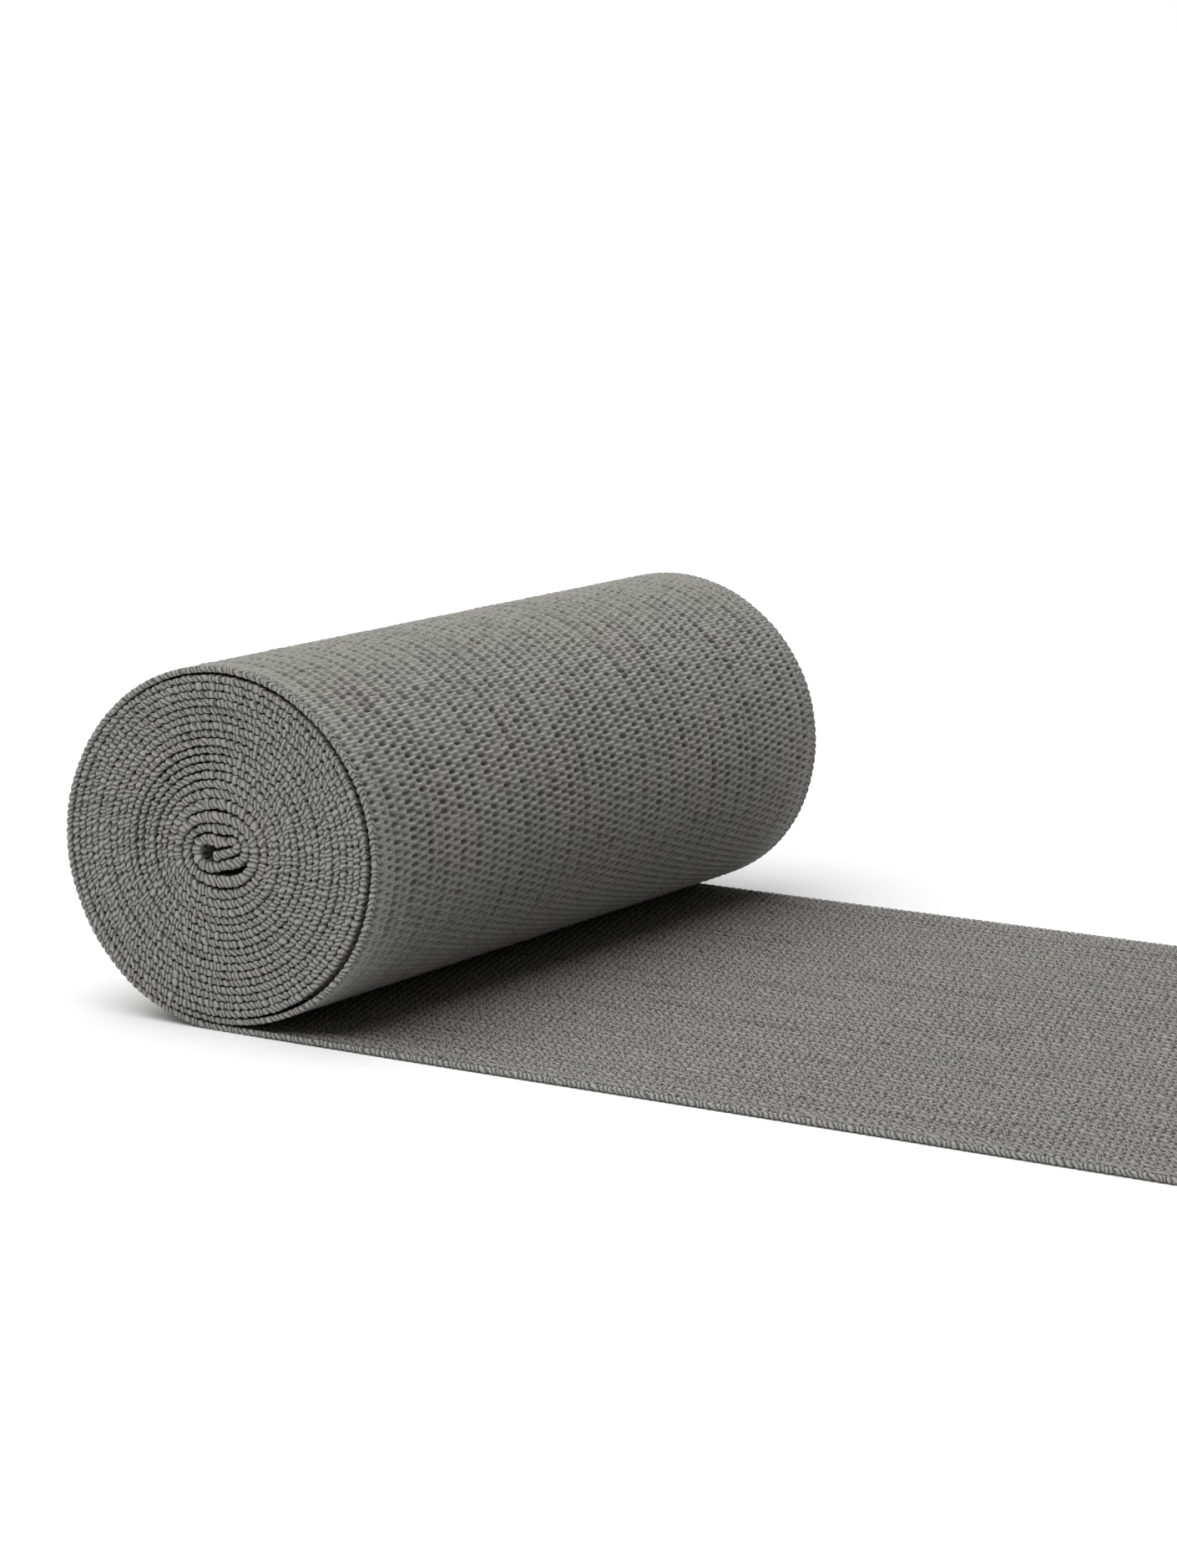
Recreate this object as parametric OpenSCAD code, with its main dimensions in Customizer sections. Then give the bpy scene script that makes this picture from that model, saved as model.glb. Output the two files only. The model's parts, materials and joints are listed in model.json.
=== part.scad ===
// Wide elastic band wound on itself without a core, with its free end laid out flat.
// The band is one woven strip. It is drawn here as the stretches that can move apart:
// the folded start, the tight turns, the loose outer turn, the short stretches that
// bend when the free end is lifted or wound on, and the flat tail.
// The width runs along Y, the tail runs towards +X, and the band rests on Z = 0.

/* [Band] */
// Width of the woven band
band_width = 150; // [75:1:200]
// Thickness of the band as it lies
band_thickness = 1.05; // [0.8:0.05:1.4]
// Air between one wound turn and the next
turn_gap = 0.24; // [0.2:0.02:0.5]

/* [Roll] */
// Height of the roll's middle above the ground, its radius at the bottom
roll_radius = 30.6; // [22:0.1:45]
// Width of the sagging roll as a share of a round one
sag_spread = 1.025; // [1:0.005:1.05]
// How far the loose outer turn stands off on the tail's side
loose_bulge = 0.75; // [0:0.05:1.5]
// Where the bulge starts, counted back from the tail in turns
bulge_start = 0.35; // [0.3:0.05:0.45]

/* [Folded core] */
// Radius of the folded start, in layers of band
core_layers = 5.155; // [5.1:0.05:7]
// How far the folded start sits below the roll's middle, in layers
core_drop = 0.7; // [0:0.05:0.8]
// How oval the first turns are, in layers
core_oval = 0.775; // [0:0.05:0.8]

/* [Tail] */
// Distance from the roll's middle to the cut end of the tail
tail_reach = 195; // [150:1:400]
// Angle that one bending line closes through when the tail is wound on
bend_step = 20; // [12:1:22]
// Air between the roll and a stretch of tail wound on to it
wrap_gap = 0.35; // [0.3:0.05:0.6]
// Slit left at each bending line
bend_slit = 0.1; // [0.05:0.05:0.3]

/* [Hidden] */
BENDS = 6;
LINKS = BENDS - 1;

pitch = band_thickness + turn_gap;
half = band_thickness / 2;
// The start of the wound turns always faces the same way, so the turns end on this fraction
turn_part = 0.12;
turns = floor((roll_radius - half) / pitch - core_layers - turn_part) + turn_part;
// Steps that the curves are drawn in
turn_steps = 60;
fold_steps = 7;
// How far the first turn lies inside the even spiral, in layers, and the turns in which
// that dies out
slack_layers = 1.24;
slack_turns = 0.8;
// The turns in which the folded start's drop and its oval die out, and the oval's tilt
core_turns = 3;
core_tilt = 8;
// The turns over which the loose bulge grows, and over which it dies away again
bulge_rise = 0.4;
bulge_fall = 0.16;
// A very small part of a turn, for the spiral's direction, and the part of a turn to which
// the folded start runs on
turn_nudge = 0.001;
turn_lead = 0.05;
// The steps in which the roll's outline is searched for its reach
outline_steps = 240;

// Smooth step from 0 to 1
function smooth(x) = let (c = min(1, max(0, x))) c * c * (3 - 2 * c);

// The spiral. n counts turns inwards from where the band leaves the roll at the bottom.
function heading(n) = 270 - 360 * n;
function bulge(n) =
    n >= 1 ? 0
    : loose_bulge * smooth((n - bulge_start) / bulge_rise) * smooth((1 - n) / bulge_fall);
function turn_radius(n) =
    let (s = turns - n)
    roll_radius - half - pitch * n + bulge(n)
    - slack_layers * pitch * exp(-s / slack_turns)
    + core_oval * pitch * exp(-s / core_turns) * cos(2 * (heading(n) - core_tilt));
function spiral(n) =
    let (r = turn_radius(n), s = turns - n)
    [sag_spread * r * cos(heading(n)),
     roll_radius + r * sin(heading(n)) - core_drop * pitch * exp(-s / core_turns)];
function unit(v) = v / norm(v);
function side(v) = [-v[1], v[0]];
function spiral_side(n) =
    n == 0 ? [0, 1] : side(unit(spiral(n - turn_nudge) - spiral(n + turn_nudge)));

// The folded start, from its cut end outwards, in layers of band from the roll's middle
FOLD = [
    [-0.81, -1.28], [0.70, -0.68], [1.60, -0.30], [2.37, 0.02], [2.64, 0.35], [2.64, 0.77],
    [2.37, 1.10], [1.95, 1.17], [0.10, 0.80], [-1.94, 1.16], [-3.25, 0.62], [-3.65, -0.70],
    [-3.06, -2.17], [-1.63, -2.64], [0.70, -1.98], [2.56, -1.46], [3.82, -0.45],
    [3.85, 0.95], [2.85, 2.15], [0.47, 2.55], [-2.56, 2.36], [-4.42, 1.24],
    [-5.04, -0.70], [-4.50, -2.64]
];
// It runs on into the first of the wound turns
fold_route = concat(
    [for (p = FOLD) [p[0] * pitch, roll_radius + p[1] * pitch]],
    [spiral(turns), spiral(turns - turn_lead)]
);
// Curve through the route with no overshoot where the points are close together
function gap_at(p, i) = sqrt(norm(p[i + 1] - p[i]));
function slope_at(p, i) =
    i == 0 ? (p[1] - p[0]) / gap_at(p, 0)
    : let (a = gap_at(p, i - 1), b = gap_at(p, i))
      (p[i] - p[i - 1]) / a - (p[i + 1] - p[i - 1]) / (a + b) + (p[i + 1] - p[i]) / b;
function curve_at(p, i, u) =
    let (g = gap_at(p, i), m0 = slope_at(p, i) * g, m1 = slope_at(p, i + 1) * g)
    (2 * u * u * u - 3 * u * u + 1) * p[i] + (u * u * u - 2 * u * u + u) * m0
    + (3 * u * u - 2 * u * u * u) * p[i + 1] + (u * u * u - u * u) * m1;
fold_line = [
    for (i = [0:len(FOLD) - 1]) for (k = [0:fold_steps - 1])
        curve_at(fold_route, i, k / fold_steps)
];
fold_side = [
    for (i = [0:len(fold_line) - 1])
        side(unit(
            (i < len(fold_line) - 1 ? fold_line[i + 1] : spiral(turns))
            - fold_line[max(0, i - 1)]
        ))
];

// Bending lines. Each one lies on the band's upper face. When they all close, the band's
// upper face follows a polygon drawn round the roll at wrap_gap.
outline = [
    for (n = [0.5:1 / outline_steps:1]) spiral(n) - [0, roll_radius] - half * spiral_side(n)
];
function reach_at(k) =
    k == 0 ? roll_radius - band_thickness
    : wrap_gap + max([
        for (p = outline) p[0] * sin(k * bend_step) - p[1] * cos(k * bend_step)
    ]);
function edge_length(k) =
    k == 0 ? (reach_at(1) - reach_at(0) * cos(bend_step)) / sin(bend_step)
    : (reach_at(k + 1) + reach_at(k - 1) - 2 * reach_at(k) * cos(bend_step)) / sin(bend_step);
function bend_x(k) = k == 0 ? 0 : bend_x(k - 1) + edge_length(k - 1);
BEND_X = [for (k = [0:BENDS]) bend_x(k)];

// The origin is under the middle of the whole footprint
roll_left = min([
    for (n = [0:1 / turn_steps:0.5]) spiral(n)[0] - half * spiral_side(n)[0]
]);
middle_x = (roll_left + tail_reach) / 2;

// A stretch of band along a line of points, as wide as the band
module strip(line, sides) {
    translate([-middle_x, band_width / 2, 0])
        rotate([90, 0, 0])
            linear_extrude(height = band_width)
                polygon(concat(
                    [for (i = [0:len(line) - 1]) line[i] + half * sides[i]],
                    [for (i = [len(line) - 1:-1:0]) line[i] - half * sides[i]]
                ));
}

// A flat stretch of band lying on the ground
module flat_band(x0, x1) {
    translate([x0 - middle_x, -band_width / 2, 0])
        cube([x1 - x0, band_width, band_thickness]);
}

module core_fold() {
    color([0.36, 0.36, 0.34])
        strip(
            concat(fold_line, [spiral(turns)]),
            concat(fold_side, [spiral_side(turns)])
        );
}

module wound_turns() {
    counts = concat([turns], [for (k = [floor(turns * turn_steps):-1:turn_steps]) k / turn_steps]);
    color([0.42, 0.42, 0.40])
        strip([for (n = counts) spiral(n)], [for (n = counts) spiral_side(n)]);
}

module outer_turn() {
    counts = [for (k = [turn_steps:-1:0]) k / turn_steps];
    color([0.45, 0.45, 0.43])
        strip(
            concat([for (n = counts) spiral(n)], [[BEND_X[1] - bend_slit / 2, half]]),
            concat([for (n = counts) spiral_side(n)], [[0, 1]])
        );
}

module band_link(k) {
    color([0.40 + 0.02 * (k % 2), 0.41, 0.40])
        flat_band(BEND_X[k] + bend_slit / 2, BEND_X[k + 1] - bend_slit / 2);
}

module tail() {
    color([0.47, 0.46, 0.44])
        flat_band(BEND_X[BENDS] + bend_slit / 2, tail_reach);
}

core_fold();
wound_turns();
outer_turn();
for (k = [1:LINKS]) {
    band_link(k);
}
tail();
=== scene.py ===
import json
import math

import bpy
import numpy as np
from mathutils import Matrix, Vector


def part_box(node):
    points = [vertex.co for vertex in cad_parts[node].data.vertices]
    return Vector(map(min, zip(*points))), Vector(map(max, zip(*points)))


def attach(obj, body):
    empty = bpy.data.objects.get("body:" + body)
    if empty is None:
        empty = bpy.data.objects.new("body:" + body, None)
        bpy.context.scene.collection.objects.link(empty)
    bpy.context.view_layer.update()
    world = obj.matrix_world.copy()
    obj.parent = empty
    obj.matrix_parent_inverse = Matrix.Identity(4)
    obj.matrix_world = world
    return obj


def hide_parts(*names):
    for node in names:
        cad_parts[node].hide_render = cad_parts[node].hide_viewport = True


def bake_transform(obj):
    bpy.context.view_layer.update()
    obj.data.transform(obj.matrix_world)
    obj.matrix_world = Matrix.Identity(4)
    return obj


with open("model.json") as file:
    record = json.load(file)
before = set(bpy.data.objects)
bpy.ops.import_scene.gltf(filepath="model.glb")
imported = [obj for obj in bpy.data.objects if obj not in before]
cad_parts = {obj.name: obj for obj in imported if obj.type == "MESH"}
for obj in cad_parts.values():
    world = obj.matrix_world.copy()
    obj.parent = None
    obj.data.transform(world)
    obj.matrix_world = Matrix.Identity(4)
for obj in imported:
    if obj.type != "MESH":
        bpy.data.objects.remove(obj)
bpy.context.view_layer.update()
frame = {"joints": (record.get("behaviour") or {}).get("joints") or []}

# ---------------------------------------------------------------- The camera
# It stands low in front of the roll's near end and looks along the band at a slant.
# Its place is in metres and its angles are in radians.
CAMERA_PLACE = Vector((0.33267, -0.65197, 0.16853))
CAMERA_TURN = -0.5378
CAMERA_DIP = 0.1763
CAMERA_TILT = 0.0156
CAMERA_LENS = 101.12

ahead = Vector((
    math.sin(CAMERA_TURN) * math.cos(CAMERA_DIP),
    math.cos(CAMERA_TURN) * math.cos(CAMERA_DIP),
    -math.sin(CAMERA_DIP),
))
level = Vector((math.cos(CAMERA_TURN), -math.sin(CAMERA_TURN), 0))
upright = level.cross(ahead)
camera_right = math.cos(CAMERA_TILT) * level + math.sin(CAMERA_TILT) * upright
camera_up = math.cos(CAMERA_TILT) * upright - math.sin(CAMERA_TILT) * level
camera = bpy.data.objects.new("camera", bpy.data.cameras.new("camera"))
camera.data.lens = CAMERA_LENS
camera.data.clip_start = 0.01
camera.data.clip_end = 50
camera.matrix_world = Matrix.Translation(CAMERA_PLACE) @ Matrix(
    (camera_right, camera_up, -ahead)
).transposed().to_4x4()
bpy.context.scene.collection.objects.link(camera)
bpy.context.scene.camera = camera

# ---------------------------------------------------------------- The folded start
# The band has no core to wind on: its cut end is folded over itself twice, and the next
# turns squeeze the fold flat. One woven strip runs from here to the end of the tail, so
# its route, its weave, its cloth and its colour are set out here and used all the way.

# The route of the band, in millimetres, as x from the roll's middle and z
MM = 0.001
tail_low, tail_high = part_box("tail")
BAND_WIDTH = (tail_high.y - tail_low.y) / MM
BAND_THICKNESS = (tail_high.z - tail_low.z) / MM
TURN_GAP = 0.24
ROLL_RADIUS = 30.6
SAG_SPREAD = 1.025
BULGE = 0.75
BULGE_START = 0.35
BULGE_RISE = 0.4
BULGE_FALL = 0.16
SLACK_LAYERS = 1.24
SLACK_TURNS = 0.8
CORE_DROP = 0.7
CORE_OVAL = 0.775
CORE_TURNS = 3
CORE_TILT = math.radians(8)
TURNS = 18.12
TURN_LEAD = 0.05
pitch = BAND_THICKNESS + TURN_GAP
half = BAND_THICKNESS / 2
# The fold, from the cut end outwards, in layers of band from the roll's middle
FOLD = np.array([
    (-0.81, -1.28), (0.70, -0.68), (1.60, -0.30), (2.37, 0.02), (2.64, 0.35), (2.64, 0.77),
    (2.37, 1.10), (1.95, 1.17), (0.10, 0.80), (-1.94, 1.16), (-3.25, 0.62), (-3.65, -0.70),
    (-3.06, -2.17), (-1.63, -2.64), (0.70, -1.98), (2.56, -1.46), (3.82, -0.45),
    (3.85, 0.95), (2.85, 2.15), (0.47, 2.55), (-2.56, 2.36), (-4.42, 1.24),
    (-5.04, -0.70), (-4.50, -2.64),
])
# Steps in which the route is drawn: between two points of the fold, in a turn, and on the
# flat, where a step is given in millimetres
FOLD_STEPS = 24
TURN_STEPS = 720
FLAT_STEP = 1.0


def smooth(x):
    """Smooth step from 0 to 1."""
    x = np.clip(x, 0, 1)
    return x * x * (3 - 2 * x)


def spiral(n):
    """The band's middle, n turns inwards from where it leaves the roll at the bottom."""
    n = np.asarray(n, float)
    inner_turns = TURNS - n
    heading = np.radians(270 - 360 * n)
    bulge = BULGE * smooth((n - BULGE_START) / BULGE_RISE) * smooth((1 - n) / BULGE_FALL)
    oval = CORE_OVAL * pitch * np.exp(-inner_turns / CORE_TURNS)
    radius = (
        ROLL_RADIUS - half - pitch * n + bulge
        - SLACK_LAYERS * pitch * np.exp(-inner_turns / SLACK_TURNS)
        + oval * np.cos(2 * (heading - CORE_TILT))
    )
    drop = CORE_DROP * pitch * np.exp(-inner_turns / CORE_TURNS)
    return np.stack([
        SAG_SPREAD * radius * np.cos(heading),
        ROLL_RADIUS + radius * np.sin(heading) - drop,
    ], -1)


def fold_curve():
    """A smooth curve through the fold's points and on into the first wound turn."""
    points = np.concatenate([
        FOLD * pitch + (0, ROLL_RADIUS), spiral([TURNS, TURNS - TURN_LEAD])
    ])
    gaps = np.sqrt(np.linalg.norm(np.diff(points, axis=0), axis=1))
    slopes = [(points[1] - points[0]) / gaps[0]]
    for i in range(1, len(FOLD) + 1):
        before, after = gaps[i - 1], gaps[i]
        slopes.append(
            (points[i] - points[i - 1]) / before
            - (points[i + 1] - points[i - 1]) / (before + after)
            + (points[i + 1] - points[i]) / after
        )
    u = np.arange(FOLD_STEPS)[:, None] / FOLD_STEPS
    return np.concatenate([
        (2 * u**3 - 3 * u**2 + 1) * points[i] + (u**3 - 2 * u**2 + u) * slopes[i] * gaps[i]
        + (3 * u**2 - 2 * u**3) * points[i + 1] + (u**3 - u**2) * slopes[i + 1] * gaps[i]
        for i in range(len(FOLD))
    ])


fold_points = fold_curve()
turn_points = spiral(np.arange(int(TURNS * TURN_STEPS), -1, -1) / TURN_STEPS)
# The roll's left side gives the place of its middle in the frame
roll_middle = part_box("outer_turn")[0].x / MM + half - turn_points[:, 0].min()
tail_reach = tail_high.x / MM - roll_middle
flat_x = np.arange(1, tail_reach + FLAT_STEP, FLAT_STEP)
flat_points = np.stack([flat_x, np.full(len(flat_x), half)], -1)
route = np.concatenate([fold_points, turn_points, flat_points])
steps = np.linalg.norm(np.diff(route, axis=0), axis=1)
route_length = np.concatenate([[0], np.cumsum(steps)])
route_way = np.gradient(route, route_length, axis=0)
route_way /= np.linalg.norm(route_way, axis=1)[:, None]
# Lengths along the route at which the fold ends, the outer turn starts, and the band
# leaves the roll for the ground
last_turn_point = len(fold_points) + len(turn_points) - 1
fold_end = route_length[len(fold_points)]
outer_start = route_length[last_turn_point - TURN_STEPS]
leaving = route_length[last_turn_point]

# The cloth is soft, so each layer swells until it presses a little into its neighbours.
# Only round the outer turn and in the fold's own hollow is there more room than it can fill.
SWELL_CLEARANCE = -0.11
SWELL_LEAST = -0.06
SWELL_MOST = 0.42
SWELL_MOST_IN_CORE = 0.46
CORE_CLEARANCE = 0.13
CORE_REACH = 30
# On the upper left the turns were wound less tightly and gape a little
LOOSE_CLEARANCE = 0.09
LOOSE_HEADING = math.radians(145)
LOOSE_FACING = 0.1
LOOSE_FACING_BLEND = 0.7
LOOSE_RADIUS = (7, 11, 17, 21)
# The outer turn doesn't swell, and the turn inside it hardly swells outwards, so that a thin
# crescent stays open between them
OUTER_LEAD = 8
GAP_REACH = 185
GAP_SWELL = 0.1
# The hand that winds pulls unevenly
UNEVEN = 0.08
UNEVEN_PACE = 2.1
UNEVEN_SWING = 3
UNEVEN_SWING_PACE = 0.37
# A point belongs to the next layer if it lies straight across, give or take the first of
# these, and is further off along the band than the second
BESIDE = 0.45
OTHER_LAYER = 3.0
# Inside a tight bend the band can't be thicker than most of the bend's radius
BEND_SHARE = 0.93
TIGHT_BEND = 0.3
SWELL_STEP = 0.4
SWELL_BLUR = 9
# The swelling dies out before the band leaves the roll
SWELL_END = 6
SWELL_FADE = 14


def room_to_neighbour(s, place, way, side):
    """How far the next layer's middle is on one side, at each of the places."""
    out = side * np.stack([-way[:, 1], way[:, 0]], -1)
    room = np.full(len(s), 2 * (half + SWELL_MOST_IN_CORE + CORE_CLEARANCE))
    for i in range(len(s)):
        apart = place - place[i]
        beyond = apart @ out[i]
        beside = np.abs(apart @ way[i]) < BESIDE
        near = (beyond > 0) & beside & (np.abs(s - s[i]) > OTHER_LAYER)
        if near.any():
            room[i] = min(room[i], beyond[near].min())
    return room


def looseness(place):
    """1 where the turns gape, 0 where they are tight."""
    from_middle = place - (0, ROLL_RADIUS)
    radius = np.linalg.norm(from_middle, axis=1)
    facing = np.cos(np.arctan2(from_middle[:, 1], from_middle[:, 0]) - LOOSE_HEADING)
    first, full, falling, last = LOOSE_RADIUS
    loose = smooth((facing - LOOSE_FACING) / LOOSE_FACING_BLEND)
    loose = loose * smooth((radius - first) / (full - first))
    return loose * smooth((last - radius) / (last - falling))


def swelling(side):
    """How much thicker the band is on one side, at even steps along its length."""
    s = np.arange(0, leaving, SWELL_STEP)
    place = np.stack([np.interp(s, route_length, route[:, i]) for i in (0, 1)], -1)
    way = np.stack([np.interp(s, route_length, route_way[:, i]) for i in (0, 1)], -1)
    room = room_to_neighbour(s, place, way, side)
    in_core = smooth((fold_end + CORE_REACH - s) / CORE_REACH)
    clearance = SWELL_CLEARANCE + (LOOSE_CLEARANCE - SWELL_CLEARANCE) * looseness(place)
    clearance = np.maximum(clearance, CORE_CLEARANCE * in_core)
    most = SWELL_MOST + (SWELL_MOST_IN_CORE - SWELL_MOST) * in_core
    swell = np.clip(room / 2 - half - clearance, SWELL_LEAST, most)
    bend = np.gradient(np.unwrap(np.arctan2(way[:, 1], way[:, 0])), s) * side
    in_bend = BEND_SHARE / np.maximum(bend, TIGHT_BEND) - half
    swell = np.minimum(swell, np.where(bend > TIGHT_BEND, in_bend, most))
    outermost = s > outer_start - OUTER_LEAD
    swell[outermost] = np.minimum(swell[outermost], 0)
    if side < 0:
        swell[s > outer_start] = 0
        beside_gap = (s > outer_start - GAP_REACH) & (s <= outer_start)
        swell[beside_gap] = np.minimum(swell[beside_gap], GAP_SWELL)
    uneven = UNEVEN * np.sin(UNEVEN_PACE * s + UNEVEN_SWING * np.sin(UNEVEN_SWING_PACE * s))
    swell[s < outer_start] += uneven[s < outer_start]
    blur = np.hanning(SWELL_BLUR)
    padded = np.pad(swell, SWELL_BLUR // 2, "edge")
    swell = np.minimum(swell, np.convolve(padded, blur / blur.sum(), "valid"))
    return s, swell * smooth((leaving - SWELL_END - s) / SWELL_FADE)


swell_at = {-1: swelling(-1), 1: swelling(1)}

# The weave, in millimetres. Weft loops round the edge cords as beads. Across the width,
# columns of pits lie between lengthwise separators, every second one deeper.
ROW = 1.46
EDGE_COLUMN = 1.94
COLUMNS = 59
column_gap = (BAND_WIDTH - 2 * EDGE_COLUMN) / COLUMNS
CROWN = 0.12
SEPARATOR = 0.05
# The edge cord, the beads on it and the grooves between them
BEAD_REACH = 1.45
BEAD_BLEND = 0.35
CORD_LINE = 0.14
CORD_LINE_WIDTH = 0.3
RIM_ROUND = 0.62
BEAD_SQUARE = 0.42
BEAD_GROOVE = 0.26
OUTER_BEADS = 0.28
GROOVE_SQUARE = 0.95
GROOVE_SHARPNESS = 1.6
GROOVE_IN = 0.35
RIM_SHADE = 0.3
DOT_SHADE = 2.6
# The tail's edge is lifted off the ground a little, over this length
EDGE_RAISE = 0.3
RAISE_LENGTH = 15
# Waves, each as its amount, its length and its start: in the spacing of the beads, in the
# sideways drift of the wound turns, and in the drift of the whole band
BEAD_DRIFT = [(0.12, 1.7, 0), (0.1, 0.77, 2)]
TURN_DRIFT = [(0.16, 13.1, 0), (0.11, 5.3, 1.1), (0.05, 1.9, 0)]
BAND_DRIFT = [(0.12, 21.0, 0.4)]
DRIFT_END = 30
# Pits and floats: sizes for the even and the odd columns of each face
PIT_DEPTH = {"outer": (0.44, 0.3), "inner": (0.31, 0.25)}
PIT_LENGTH = {"outer": (1.1, 0.96), "inner": (0.95, 0.8)}
PIT_WIDTH = {"outer": (0.54, 0.47), "inner": (0.44, 0.4)}
PIT_RIM = 0.5
PIT_SQUARE = 2.4
PIT_BY_EDGE = 0.62
FLOAT_LENGTH = 1.15
FLOAT_WIDTH = 0.42
FLOAT_SHARE = 0.42
FLOAT_ROUND = 0.7
# No two pits are alike. The lots repeat after this many rows and columns.
LOTS = (211, 64)
pit_dice = np.random.default_rng(7)
pit_size = np.clip(pit_dice.normal(1, 0.1, LOTS), 0.75, 1.1)
pit_slant = pit_dice.normal(0.03, 0.13, LOTS)
pit_depth = np.clip(pit_dice.normal(1, 0.22, LOTS), 0.4, 1.5)
pit_shift = pit_dice.normal(0, 0.07, LOTS)
PIT_NARROWEST = 0.8


def pits(s, v, face):
    """Depth of the weave at length s and place across v. In each column pits take turns with
    floats, where the weft lies proud. Both run out softly, so that the threads stay round."""
    place = (v + BAND_WIDTH / 2 - EDGE_COLUMN) / column_gap
    deepest, proudest = 0, 0
    for column in (np.floor(place), np.floor(place) + 1):
        across = (place - column) * column_gap
        odd = (column % 2).astype(int)
        along = s / ROW + 0.5 * odd
        row = np.round(along)
        lot = (row.astype(int) % LOTS[0], column.astype(int) % LOTS[1])
        by_edge = np.minimum(column, COLUMNS - column) < 2
        size = pit_size[lot] * np.where(by_edge, PIT_BY_EDGE, 1)
        length = np.choose(odd, PIT_LENGTH[face]) * size
        width = np.choose(odd, PIT_WIDTH[face]) * np.maximum(size, PIT_NARROWEST)
        depth = np.choose(odd, PIT_DEPTH[face]) * pit_depth[lot]
        depth = depth * ((column >= 0) & (column <= COLUMNS))
        from_pit = (along - row) * ROW - pit_slant[lot] * across - pit_shift[lot]
        in_pit = 1 - np.abs(across / length) ** PIT_SQUARE - (from_pit / width) ** 2
        deepest = np.maximum(deepest, depth * smooth((in_pit + PIT_RIM) / (1 + PIT_RIM)))
        from_float = (np.abs(along - row) - 0.5) * ROW
        on_float = 1 - (across / (FLOAT_LENGTH * size)) ** 2 - (from_float / FLOAT_WIDTH) ** 2
        proud_here = depth * FLOAT_SHARE * np.clip(on_float, 0, 1) ** FLOAT_ROUND
        proudest = np.maximum(proudest, proud_here)
    return deepest - proudest


def waves(s, terms):
    """The sum of some waves at length s."""
    return sum(amount * np.sin(s / length + start) for amount, length, start in terms)


def groove(s):
    """1 in the middle of the groove between two beads of the edge, 0 on a bead."""
    half_waves = np.pi * (s + waves(s, BEAD_DRIFT)) / ROW
    return (1 - np.abs(np.sin(half_waves))) ** GROOVE_SHARPNESS


def groove_depth(s):
    """How deep the groove cuts. The outer turn and the tail have been pulled smoother."""
    return BEAD_GROOVE * np.where(s > outer_start, OUTER_BEADS, 1) * groove(s)


def drift(s):
    """How far the band lies to one side. It wanders more from turn to turn as it is wound."""
    wound = smooth((leaving + DRIFT_END - s) / (2 * DRIFT_END))
    return waves(s, TURN_DRIFT) * wound + waves(s, BAND_DRIFT)


def relief(s, v, face):
    """How deep the surface lies under the band's flat face."""
    from_edge = BAND_WIDTH / 2 - np.abs(v)
    rim = smooth((BEAD_REACH + BEAD_BLEND - from_edge) / (2 * BEAD_BLEND))
    place = (v + BAND_WIDTH / 2 - EDGE_COLUMN) / column_gap
    separator = SEPARATOR * (1 - np.abs(np.cos(np.pi * place)) ** 0.5)
    beside_cord = CORD_LINE * np.exp(-((from_edge - BEAD_REACH) / CORD_LINE_WIDTH) ** 2)
    field = CROWN - separator + pits(s, v, face)
    return field * (1 - rim) + groove_depth(s) * rim + beside_cord


# A ring of points round the band's cross-section: the outer face from the near edge to
# the far one, and back along the inner face. Places are distances from the near edge.
EDGE_PLACES = [RIM_ROUND, 1.05, 1.5, 2.0, 2.6, 3.6, 5.5]
MIDDLE_PLACES = [30, 75, 120]
COARSE_PLACES = EDGE_PLACES + MIDDLE_PLACES + [BAND_WIDTH - e for e in EDGE_PLACES[::-1]]
FINE_EDGE = np.array([RIM_ROUND, 1.0, 1.45])
COLUMN_STEPS = 6
fine_columns = np.arange(
    EDGE_COLUMN, BAND_WIDTH - EDGE_COLUMN + 0.01, column_gap / COLUMN_STEPS
)
FINE_PLACES = np.concatenate([FINE_EDGE, fine_columns, BAND_WIDTH - FINE_EDGE[::-1]])
RIM_ANGLES = np.radians([75, 55, 33, 11])


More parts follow.
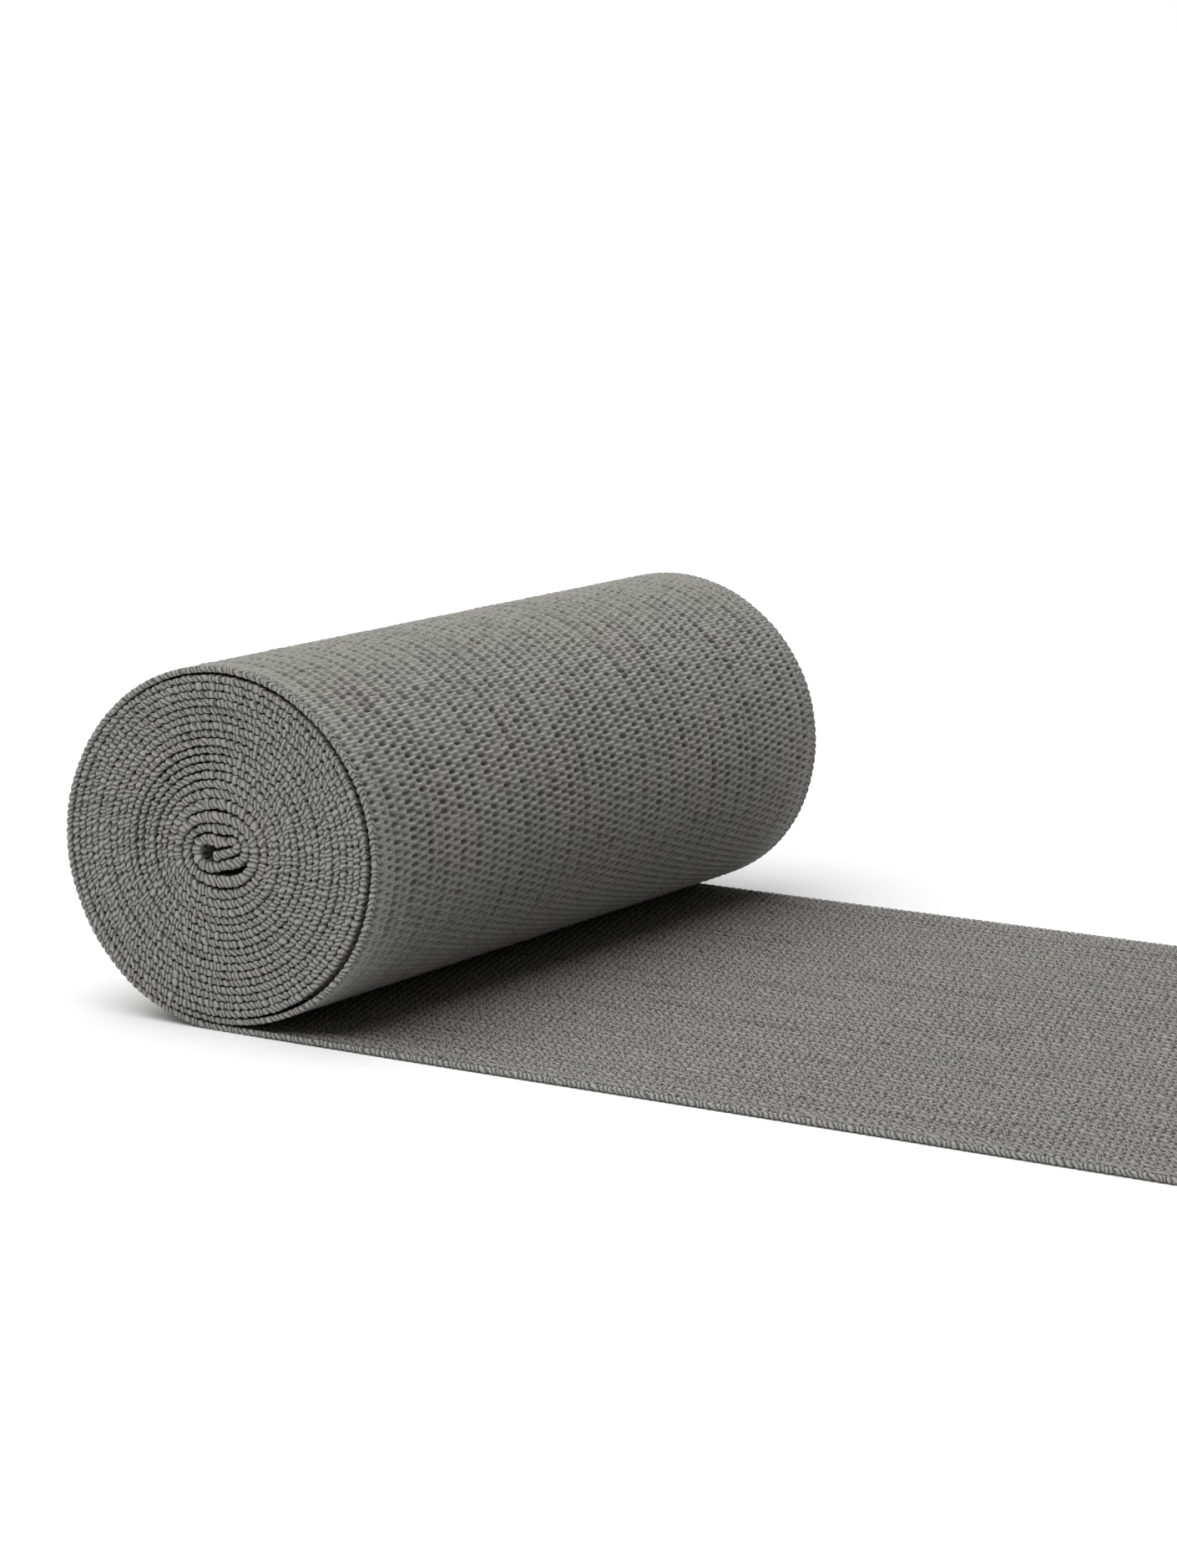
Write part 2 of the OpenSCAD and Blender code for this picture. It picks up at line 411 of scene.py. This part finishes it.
def band_piece(name, s_from, s_to, per_row, places):
    """A stretch of the band as one closed mesh, with the weave's relief on both faces."""
    first, last = round(s_from / ROW * per_row), round(s_to / ROW * per_row)
    s = np.arange(first, last + 1)[:, None] * ROW / per_row
    x, z = (np.interp(s, route_length, route[:, i]) for i in (0, 1))
    way_x, way_z = (np.interp(s, route_length, route_way[:, i]) for i in (0, 1))
    swell = {side: np.interp(s, *swell_at[side]) for side in (-1, 1)}

    def face(places_along, side, face_name):
        v = np.asarray(places_along)[None, :] - BAND_WIDTH / 2 + 0 * s
        deep = relief(s, v, face_name)
        return v, side * (half + swell[side] - deep), deep

    def rim(end, angles):
        dip = groove(s)
        square = BEAD_SQUARE + (GROOVE_SQUARE - BEAD_SQUARE) * dip
        out = RIM_ROUND * (1 - GROOVE_IN * dip) * np.cos(angles)[None, :] ** square
        raised = EDGE_RAISE * smooth((s - leaving) / RAISE_LENGTH)
        reach = half + np.where(angles > 0, swell[1], swell[-1] - raised)
        lift = np.sign(angles) * np.abs(np.sin(angles))[None, :] ** square
        return (
            end * (BAND_WIDTH / 2 - RIM_ROUND + out),
            (reach - groove_depth(s)) * lift,
            # How much painted shade the groove between beads gets, darkest in dots where the
            # turns meet
            BEAD_GROOVE * dip * (RIM_SHADE + DOT_SHADE * np.abs(lift) ** 3),
        )

    down = RIM_ANGLES[::-1]
    around = [
        rim(-1, -down), face(places, -1, "outer"), rim(1, -RIM_ANGLES),
        rim(1, down), face(places[::-1], 1, "inner"), rim(-1, RIM_ANGLES),
    ]
    v, height, deep = (np.concatenate([stretch[i] for stretch in around], 1) for i in range(3))
    points = np.stack([
        (x + roll_middle - height * way_z) * MM, (v + drift(s)) * MM, (z + height * way_x) * MM
    ], -1).reshape(-1, 3)

    count, ring = v.shape
    station, turn = np.meshgrid(np.arange(count - 1), np.arange(ring), indexing="ij")
    next_turn = (turn + 1) % ring
    sides = np.stack([
        station * ring + turn, (station + 1) * ring + turn,
        (station + 1) * ring + next_turn, station * ring + next_turn,
    ], -1).reshape(-1, 4)
    j = np.arange(ring // 2 - 1)
    cap = np.stack([j, j + 1, ring - 2 - j, ring - 1 - j], -1)
    quads = np.concatenate([sides, cap, (count - 1) * ring + cap[:, ::-1]])

    mesh = bpy.data.meshes.new(name)
    mesh.vertices.add(len(points))
    mesh.vertices.foreach_set("co", points.astype(np.float32).ravel())
    mesh.loops.add(quads.size)
    mesh.loops.foreach_set("vertex_index", quads.astype(np.int32).ravel())
    mesh.polygons.add(len(quads))
    mesh.polygons.foreach_set("loop_start", np.arange(0, quads.size, 4, dtype=np.int32))
    mesh.update(calc_edges=True)
    mesh.polygons.foreach_set("use_smooth", np.ones(len(quads), bool))
    # What the cloth's colours go by: length, place across and height, and the relief's depth,
    # which sets the painted shade in the pits; on the edge it is the painted shade of the
    # grooves between beads
    mesh.attributes.new("weave", "FLOAT_VECTOR", "POINT").data.foreach_set(
        "vector", np.stack([s + 0 * v, v, height], -1).astype(np.float32).ravel()
    )
    mesh.attributes.new("hollow", "FLOAT", "POINT").data.foreach_set(
        "value", deep.astype(np.float32).ravel()
    )
    bake_map(mesh, station, turn, count, ring, 2 * len(cap))
    mesh.materials.append(cloth)
    piece = bpy.data.objects.new(name, mesh)
    bpy.context.scene.collection.objects.link(piece)
    return piece


# The share of each row of the map that is filled, and the spot that the cut ends share
MAP_FILL = 0.98
MAP_SPARE = 0.999


def bake_map(mesh, station, turn, count, ring, cap_quads):
    """A map that fills the square: a long stretch is folded into rows one above another."""
    rows = max(1, round(math.sqrt((count - 1) / ring)))
    per_row = math.ceil((count - 1) / rows)
    row = station // per_row
    u = (station - row * per_row) / per_row
    v = (row + turn / ring * MAP_FILL) / rows
    du, dv = 1 / per_row, MAP_FILL / ring / rows
    on_map = np.stack([
        np.stack([u, v], -1), np.stack([u + du, v], -1),
        np.stack([u + du, v + dv], -1), np.stack([u, v + dv], -1),
    ], 2).reshape(-1, 2)
    on_map = np.concatenate([on_map, np.full((cap_quads * 4, 2), MAP_SPARE)])
    layer = mesh.uv_layers.new(name="OFBake")
    layer.uv.foreach_set("vector", on_map.astype(np.float32).ravel())


class Tone:
    """A socket of a material's nodes, on which sums are written as sums."""

    def __init__(self, paint, socket):
        self.paint, self.socket = paint, socket

    def sum(self, operation, *others, first=None):
        settings = {"operation": operation}
        values = [self if first is None else first, *others]
        return self.paint.node("ShaderNodeMath", settings, dict(enumerate(values)))

    def __add__(self, other):
        return self.sum("ADD", other)

    def __sub__(self, other):
        return self.sum("SUBTRACT", other)

    def __rsub__(self, other):
        return self.sum("SUBTRACT", self, first=other)

    def __mul__(self, other):
        return self.sum("MULTIPLY", other)

    def __abs__(self):
        return self.sum("ABSOLUTE")

    __radd__, __rmul__ = __add__, __mul__

    def sine(self):
        return self.sum("SINE")

    def cosine(self):
        return self.sum("COSINE")

    def held(self):
        """The value, held between 0 and 1."""
        return self.sum("MAXIMUM", 0.0).sum("MINIMUM", 1.0)


class Paint:
    """A material, or the surround, made of nodes."""

    def __init__(self, name, library=bpy.data.materials):
        self.made = library.new(name)
        self.made.use_nodes = True
        self.tree = self.made.node_tree
        self.tree.nodes.clear()

    def node(self, kind, settings=None, inputs=None, output=0):
        made = self.tree.nodes.new(kind)
        for key, value in (settings or {}).items():
            setattr(made, key, value)
        for key, value in (inputs or {}).items():
            if isinstance(value, Tone):
                self.tree.links.new(value.socket, made.inputs[key])
            else:
                made.inputs[key].default_value = value
        return Tone(self, made.outputs[output]) if made.outputs else None

    def mix(self, factor, first, second):
        settings = {"data_type": "RGBA", "blend_type": "MIX"}
        return self.node("ShaderNodeMix", settings, {0: factor, 6: first, 7: second}, 2)

    def axes(self, vector, count=3):
        """The separate axes of a vector."""
        split = self.node("ShaderNodeSeparateXYZ", None, {0: vector}).socket.node
        return [Tone(self, split.outputs[i]) for i in range(count)]


# Cloth of grey cotton on covered rubber thread: dull, a little greenish where painted shade
# darkens the hollows, a little warmer in patches, with painted highlight on the threads' tops
# and floats.
THREAD_GREEN = (0.272, 0.283, 0.252, 1)
THREAD_WARM = (0.303, 0.286, 0.266, 1)
# The pale grey of painted highlight and of paler fibres
HIGHLIGHT_AND_FIBRE_GREY = (0.475, 0.468, 0.436, 1)
# The near-black of painted shade
PAINTED_SHADE_GREY = (0.04, 0.042, 0.036, 1)
THREADS_PER_ROW = 2
THREAD_SWAY = 0.06
THREAD_WAVER = 1.6
# How sharply the edge and the inner face begin, the painted shade of a pit sets in and the
# painted highlight of a float
RIM_SHARPNESS = 2
INNER_SHARPNESS = 4
SUNK_FROM = 0.1
SUNK_SHARPNESS = 2.9
PROUD_SHARPNESS = 9
# Noise, in patches to the millimetre
WAVER_SCALE = 0.6
LOOP_SCALE = 0.45
FIBRE_SCALE = 9
PATCH_SCALE = 0.05
SLIT_SCALE = 0.35
# The cotton's loops: how fast they follow each other along, across and up, and how far
# noise bends them. Their share over the straight threads, least on the outer face.
RIM_LOOPS = (6.8, 4, 3.2, 12.5)
INNER_LOOPS = (3.2, 6, 0, 15)
LOOPED = 0.25
LOOPED_INNER = 0.5
# Thin slits between lengthwise threads: drawn out along the band, and few
SLIT_STRETCH = (0.03, 1, 0)
SLIT_LEVEL = 0.62
SLIT_SHARPNESS = 45
# What makes the thread warmer, what paints a highlight on it or pales its fibres, and what
# paints shade on it
WARM_PATCH = 3
WARM_FROM = 1.3
WARM_INNER = 0.9
HIGHLIGHT_THREADS = 0.3
PALE_FIBRE = 0.3
HIGHLIGHT_FLOAT = 0.5
PALE_RIM = 0.12
PALE_FROM = 0.1
SHADE_PIT = 0.46
SHADE_INNER_PIT = 0.3
SHADE_BETWEEN = 0.3
SHADE_BETWEEN_RIM = 0.5
SHADE_BETWEEN_INNER = 0.62
SHADE_INNER = 0.15
SHADE_SLIT = 0.3
# What makes the cloth rough to the light
BUMP_COVER = 0.75
BUMP_FIBRE = 0.25
BUMP_SLIT = 0.7

cotton = Paint("elastic_cotton")
weave = cotton.node("ShaderNodeAttribute", {"attribute_name": "weave"}, output=1)
hollow = cotton.node("ShaderNodeAttribute", {"attribute_name": "hollow"}, output=2)
s_here, v_here, h_here = cotton.axes(weave)


def cotton_noise(scale, detail=2.0, stretch=(1, 1, 1)):
    """Even noise laid along the strip, with scale in patches to the millimetre."""
    stretched = cotton.node(
        "ShaderNodeVectorMath", {"operation": "MULTIPLY"}, {0: weave, 1: stretch}
    )
    return cotton.node(
        "ShaderNodeTexNoise", None, {"Vector": stretched, "Scale": scale, "Detail": detail}
    )


def labyrinth(along, across, up, bending):
    """Loops of thread that run on into each other."""
    bent = cotton_noise(LOOP_SCALE, 0) * bending
    phase = s_here * along + v_here * across + h_here * up + bent
    return (phase.sine() + 1) * 0.5


# Where the surface is: on the beaded edge, on the inner face, in a pit or on a float
rim_here = ((abs(v_here) - (BAND_WIDTH / 2 - BEAD_REACH)) * RIM_SHARPNESS).held()
inner_here = (h_here * INNER_SHARPNESS).held() * (1 - rim_here)
# sunk sets the painted shade in the pits, proud the painted highlight on the floats
sunk = ((hollow - SUNK_FROM) * SUNK_SHARPNESS).held()
proud = (hollow * -PROUD_SHARPNESS + 1).held()

# The weft's threads run across, bowed round each pit, and loops lie between and over them
column_phase = (v_here + (BAND_WIDTH / 2 - EDGE_COLUMN)) * (math.pi / column_gap)
row_phase = s_here * (2 * math.pi / ROW)
bow = row_phase.sine() * column_phase.cosine() * (THREAD_SWAY * 2 * math.pi)
thread_phase = (row_phase - bow) * (THREADS_PER_ROW / 2)
waver = cotton_noise(WAVER_SCALE) * THREAD_WAVER - THREAD_WAVER / 2
threads = abs((thread_phase + waver).sine())
loops = labyrinth(*RIM_LOOPS) * (1 - inner_here) + labyrinth(*INNER_LOOPS) * inner_here
looped = (rim_here + LOOPED + inner_here * LOOPED_INNER).held()
cover = threads * (1 - looped) + loops * looped
uncovered = 1 - cover
fibre = cotton_noise(FIBRE_SCALE, 3)
slit_noise = cotton_noise(SLIT_SCALE, 0, SLIT_STRETCH)
slit = (1 - abs(slit_noise - SLIT_LEVEL) * SLIT_SHARPNESS).held() * (1 - rim_here)

patches = cotton_noise(PATCH_SCALE, 3) * WARM_PATCH - WARM_FROM
warmth = (patches + inner_here * WARM_INNER).held()
# Painted highlight on the tops of the threads and on the raised floats, with random paler
# fibres and a slightly paler edge
highlight_and_fibre = (
    cover * HIGHLIGHT_THREADS + fibre * PALE_FIBRE + proud * HIGHLIGHT_FLOAT * (1 - rim_here)
    + rim_here * PALE_RIM - PALE_FROM
).held()
# Painted shade in the pits (more on the inner face), in the gaps between the threads (more on
# the edge and the inner face) and in the slits; the inner face is also darker all over
between = rim_here * SHADE_BETWEEN_RIM + inner_here * SHADE_BETWEEN_INNER + SHADE_BETWEEN
shade = (
    sunk * SHADE_PIT + inner_here * sunk * SHADE_INNER_PIT + uncovered * uncovered * between
    + inner_here * SHADE_INNER + slit * SHADE_SLIT
).held()
ground = cotton.mix(warmth, THREAD_GREEN, THREAD_WARM)
with_highlight_and_fibre = cotton.mix(highlight_and_fibre, ground, HIGHLIGHT_AND_FIBRE_GREY)
shader = cotton.node("ShaderNodeBsdfPrincipled", None, {
    "Base Color": cotton.mix(shade, with_highlight_and_fibre, PAINTED_SHADE_GREY),
    "Roughness": 0.92,
    "Specular IOR Level": 0.25,
    "Sheen Weight": 0.12,
    "Sheen Roughness": 0.5,
    "Normal": cotton.node("ShaderNodeBump", None, {
        "Strength": 1.0, "Distance": 0.0002,
        "Height": cover * BUMP_COVER + fibre * BUMP_FIBRE - slit * BUMP_SLIT,
    }),
})
cotton.node("ShaderNodeOutputMaterial", None, {"Surface": shader})
cloth = cotton.made

fold_piece = band_piece("folded_start", 0, fold_end, 6, COARSE_PLACES)
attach(fold_piece, "roll")
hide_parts("core_fold")

# ---------------------------------------------------------------- The tight turns
# Seventeen turns of the same band, wound by hand, so that the edges wander a little from
# turn to turn. Only the two edges show: rows of beads, with a thin dark gap between turns.
turns_piece = band_piece("wound_turns_cloth", fold_end, outer_start, 5, COARSE_PLACES)
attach(turns_piece, "roll")
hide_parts("wound_turns")

# ---------------------------------------------------------------- The loose outer turn
# The last turn shows its whole outer face. It stands off a little on the tail's side and
# comes down to the ground, where it runs on flat up to just before the first bending line.
bend_x = [joint["pos_m"][0] / MM - roll_middle for joint in frame["joints"]]
bend_gaps = np.diff(bend_x)
# The bending stretches meet halfway between their lines
bend_cuts = [bend_x[0] - bend_gaps[0] / 2]
bend_cuts += [line_x + gap / 2 for line_x, gap in zip(bend_x, bend_gaps)]
bend_cuts.append(bend_x[-1] + bend_gaps[-1] / 2)
cuts = [leaving + x for x in bend_cuts]
outer_length = (cuts[0] - outer_start) * MM
outer_piece = band_piece("outer_turn_cloth", outer_start, cuts[0], 6, FINE_PLACES)
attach(outer_piece, "roll")
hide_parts("outer_turn")

# ---------------------------------------------------------------- The bending stretches
# Next to the roll the band bends when the tail is lifted or wound on. Each stretch runs
# from the middle of one CAD link to the middle of the next, equally far to both sides of
# the line between them.
bodies = ["roll"] + [f"link_{k}" for k in range(1, len(bend_x))] + ["tail"]
for k, joint in enumerate(frame["joints"]):
    stretch = band_piece(f"band_bend_{k + 1}", cuts[k], cuts[k + 1], 6, FINE_PLACES)
    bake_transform(stretch)
    if bodies[k + 1] != "tail":
        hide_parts(f"band_link_{k + 1}")
    stretch_length = (cuts[k + 1] - cuts[k]) * MM

# ---------------------------------------------------------------- The tail
# The free end lies flat with the band's inner face up. Its weave is the same, seen from
# the back: smaller and shallower pits, under more of the cotton's loops.
tail_length = (leaving + tail_reach - cuts[-1]) * MM
tail_piece = band_piece("tail_cloth", cuts[-1], leaving + tail_reach, 6, FINE_PLACES)
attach(tail_piece, "tail")
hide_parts("tail")

# ---------------------------------------------------------------- The oversewn end
# The band was cut across, and its cut end is oversewn so that it can't fray. One thread goes
# over the end in close slanted loops, and a second one, laid in waves, catches them on top.
STITCH_STEP = 1.5
STITCH_DEPTH = 3.2
STITCH_SLANT = 1.1
STITCH_MARGIN = 1.3
STITCH_OUT = 0.12
STITCH_LEAN = 0.08
STITCH_UNEVEN = 0.05
LOOP_STEPS = 9
LEG_BEND = 0.6
THREAD_RADIUS = 0.19
THREAD_SIDES = 8
THREAD_SUNK = 0.7
CATCH_OVER = 0.8
CATCH_PAST = 0.4
CATCH_WAVE = 0.35
CATCH_STEP = 0.25
TWIST_PACE = 4
PALE_THREAD = (0.42, 0.41, 0.38, 1)
DARK_THREAD = (0.2, 0.2, 0.18, 1)

stitch_dice = np.random.default_rng(11)
last_stitch = BAND_WIDTH / 2 - STITCH_MARGIN
thread_points, thread_faces, thread_places = [], [], []


def lay_thread(points, axis):
    """A closed round thread along the points. Axis is a way in which it never runs."""
    way = np.gradient(points, axis=0)
    way /= np.linalg.norm(way, axis=1)[:, None]
    across = np.cross(way, axis)
    across /= np.linalg.norm(across, axis=1)[:, None]
    up = np.cross(across, way)
    around = np.arange(THREAD_SIDES) * 2 * math.pi / THREAD_SIDES
    sideways = np.cos(around)[None, :, None] * across[:, None]
    rings = points[:, None] + THREAD_RADIUS * (
        sideways + np.sin(around)[None, :, None] * up[:, None]
    )
    lengths = np.linalg.norm(np.diff(points, axis=0), axis=1)
    start = len(thread_points)
    for ring, along in zip(rings, np.concatenate([[0], np.cumsum(lengths)])):
        thread_points.extend((ring * MM).tolist())
        thread_places.extend((along, angle, 0) for angle in around)
    for i in range(len(points) - 1):
        for j in range(THREAD_SIDES):
            near, side = start + i * THREAD_SIDES, (j + 1) % THREAD_SIDES
            far = near + THREAD_SIDES
            thread_faces.append((near + j, near + side, far + side, far + j))
    last_ring = start + (len(points) - 1) * THREAD_SIDES
    thread_faces.append(tuple(start + j for j in range(THREAD_SIDES))[::-1])
    thread_faces.append(tuple(last_ring + j for j in range(THREAD_SIDES)))


# One loop, from the upper side round the cut end to the underside
end_x = tail_high.x / MM
loop_turn = np.linspace(0, math.pi, LOOP_STEPS)
loop_top = BAND_THICKNESS - CROWN + THREAD_RADIUS * THREAD_SUNK
loop_middle = (loop_top + THREAD_RADIUS) / 2
leg_x = [-STITCH_DEPTH, -STITCH_DEPTH * LEG_BEND]
loop_x = np.concatenate([leg_x, STITCH_OUT * 2 * np.sin(loop_turn) - STITCH_OUT, leg_x[::-1]])
loop_rise = np.concatenate([[1, 1], np.cos(loop_turn), [-1, -1]])
loop_z = loop_middle + (loop_top - loop_middle) * loop_rise
for stitch_v in np.arange(-last_stitch, last_stitch - STITCH_SLANT, STITCH_STEP):
    lean = STITCH_SLANT * np.linspace(0, 1, len(loop_x)) + stitch_dice.normal(0, STITCH_LEAN)
    stretch_x = 1 + stitch_dice.normal(0, STITCH_UNEVEN)
    lay_thread(np.stack([end_x + loop_x * stretch_x, stitch_v + lean, loop_z], -1), (0, 1, 0))
catch_v = np.arange(-last_stitch - CATCH_PAST, last_stitch + CATCH_PAST, CATCH_STEP)
lay_thread(np.stack([
    end_x - STITCH_DEPTH + CATCH_WAVE * np.sin(2 * math.pi * catch_v / STITCH_STEP),
    catch_v,
    loop_top + THREAD_RADIUS * CATCH_OVER + 0 * catch_v,
], -1), (0, 0, 1))

sewing_thread = Paint("sewing_thread")
twist = sewing_thread.node("ShaderNodeAttribute", {"attribute_name": "twist"}, output=1)
along_thread, round_thread = sewing_thread.axes(twist, 2)
plies = abs((along_thread * TWIST_PACE + round_thread).sine())
thread_shader = sewing_thread.node("ShaderNodeBsdfPrincipled", None, {
    "Base Color": sewing_thread.mix(plies, DARK_THREAD, PALE_THREAD),
    "Roughness": 0.8,
    "Specular IOR Level": 0.3,
    "Sheen Weight": 0.15,
    "Normal": sewing_thread.node(
        "ShaderNodeBump", None, {"Strength": 0.8, "Distance": 0.0001, "Height": plies}
    ),
})
sewing_thread.node("ShaderNodeOutputMaterial", None, {"Surface": thread_shader})

stitch_mesh = bpy.data.meshes.new("end_stitching")
stitch_mesh.from_pydata(thread_points, [], thread_faces)
stitch_mesh.polygons.foreach_set("use_smooth", np.ones(len(thread_faces), bool))
stitch_mesh.attributes.new("twist", "FLOAT_VECTOR", "POINT").data.foreach_set(
    "vector", np.array(thread_places, np.float32).ravel()
)
stitch_mesh.materials.append(sewing_thread.made)
stitching = bpy.data.objects.new("end_stitching", stitch_mesh)
bpy.context.scene.collection.objects.link(stitching)
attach(stitching, "tail")

# ---------------------------------------------------------------- The floor and the light
# A white floor that the light nearly burns out, so that only the soft shadow of the roll
# shows on it, under one wide soft light from above. Nothing here is part of the object.
FLOOR_SIZE = 60
KEY_POWER = 3.55
KEY_SPREAD = math.radians(76)
KEY_FROM = Vector((-0.2, -0.22, 1.0))
FILL_LIGHT = 0.115

floor_paint = Paint("white_floor")
floor_shader = floor_paint.node("ShaderNodeBsdfPrincipled", None, {
    "Base Color": (0.9, 0.9, 0.905, 1),
    "Roughness": 0.9,
    "Specular IOR Level": 0.1,
    "Emission Color": (1, 1, 1, 1),
    "Emission Strength": 0.03,
})
floor_paint.node("ShaderNodeOutputMaterial", None, {"Surface": floor_shader})
edge = FLOOR_SIZE / 2
floor_mesh = bpy.data.meshes.new("floor")
floor_mesh.from_pydata(
    [(-edge, -edge, 0), (edge, -edge, 0), (edge, edge, 0), (-edge, edge, 0)], [], [(0, 1, 2, 3)]
)
floor_mesh.materials.append(floor_paint.made)
floor = bpy.data.objects.new("floor", floor_mesh)
bpy.context.scene.collection.objects.link(floor)

# Even light from one side of the sky, as from a wide soft box far away
lamp = bpy.data.lights.new("key_light", "SUN")
lamp.energy = KEY_POWER
lamp.angle = KEY_SPREAD
key_light = bpy.data.objects.new("key_light", lamp)
key_light.location = KEY_FROM
key_light.rotation_euler = KEY_FROM.to_track_quat("Z", "Y").to_euler()
bpy.context.scene.collection.objects.link(key_light)

# The surround gives only a little light, but looks as white as the floor
surround = Paint("surround", bpy.data.worlds)
looked_at = surround.node("ShaderNodeLightPath")
surround_white = surround.node("ShaderNodeBackground", None, {
    "Color": (1, 1, 1, 1), "Strength": looked_at * (1 - FILL_LIGHT) + FILL_LIGHT,
})
surround.node("ShaderNodeOutputWorld", None, {"Surface": surround_white})
bpy.context.scene.world = surround.made
bpy.context.scene.view_settings.view_transform = "Standard"
